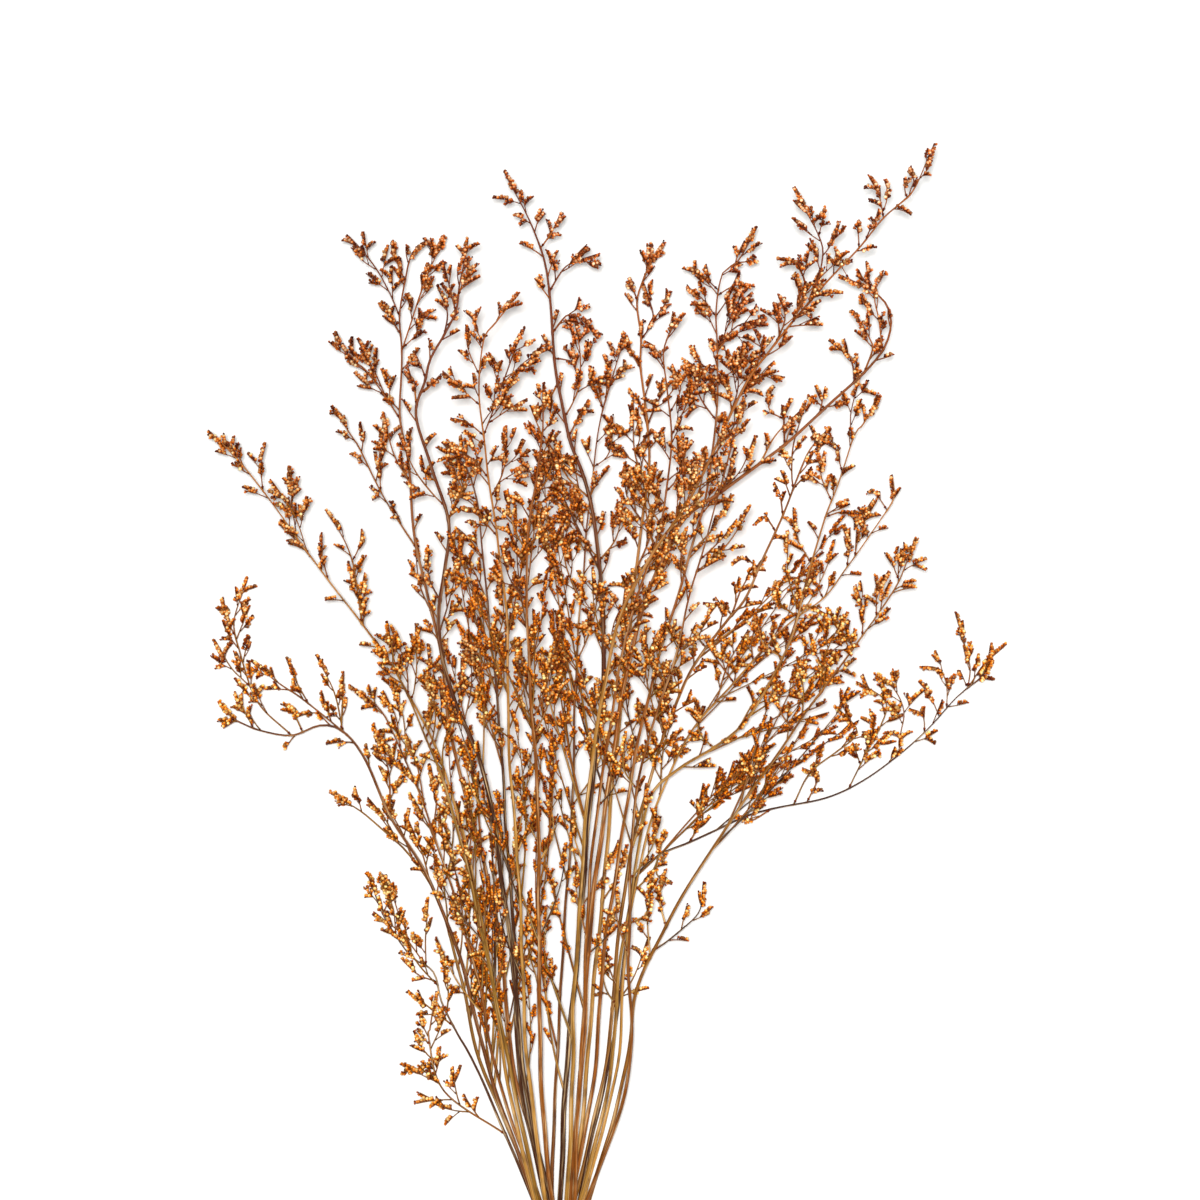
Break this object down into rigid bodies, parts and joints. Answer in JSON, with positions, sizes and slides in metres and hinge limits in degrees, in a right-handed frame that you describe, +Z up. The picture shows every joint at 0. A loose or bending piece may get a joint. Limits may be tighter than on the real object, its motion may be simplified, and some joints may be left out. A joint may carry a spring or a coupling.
{
  "type": "preserved caspia statice bunch",
  "caption": "Tied bunch of dried caspia statice lying on its side: long slim stems that fan out into arching forks covered with small papery florets.",
  "frame": {"origin": "on the surface that the bunch lies on, under the middle of the tie, at the centre of the tie's flat underside", "axes": "+Y along the stems from the cut ends to the tips, +X to the right seen from above with the tips away, +Z up"},
  "size_m": [0.4808, 0.75, 0.1678],
  "materials": {
    "dried_caspia": "dry and papery, golden brown florets on tan stems",
    "jute_twine": "natural jute, matte"
  },
  "bodies": {
    "root": {"stem_left_arch": "dried_caspia", "stem_left_long": "dried_caspia", "stem_lower_left_fan": "dried_caspia", "stem_left_shoulder": "dried_caspia", "stem_left_cluster": "dried_caspia", "stem_top_left": "dried_caspia", "stem_top_left_second": "dried_caspia", "stem_centre_left": "dried_caspia", "stem_tall_centre": "dried_caspia", "stem_centre_tips": "dried_caspia", "stem_slim_top": "dried_caspia", "stem_slim_top_right": "dried_caspia", "stem_upper_right": "dried_caspia", "stem_far_right_tip": "dried_caspia", "stem_arched": "dried_caspia", "stem_right_column": "dried_caspia", "stem_right_inner": "dried_caspia", "stem_right_outer_upper": "dried_caspia", "stem_right_outer": "dried_caspia", "stem_far_right_low": "dried_caspia", "stem_lower_left_sprig": "dried_caspia", "stem_left_middle": "dried_caspia", "stem_middle": "dried_caspia", "stem_inner_right": "dried_caspia", "tie": "jute_twine"}
  },
  "joints": []
}
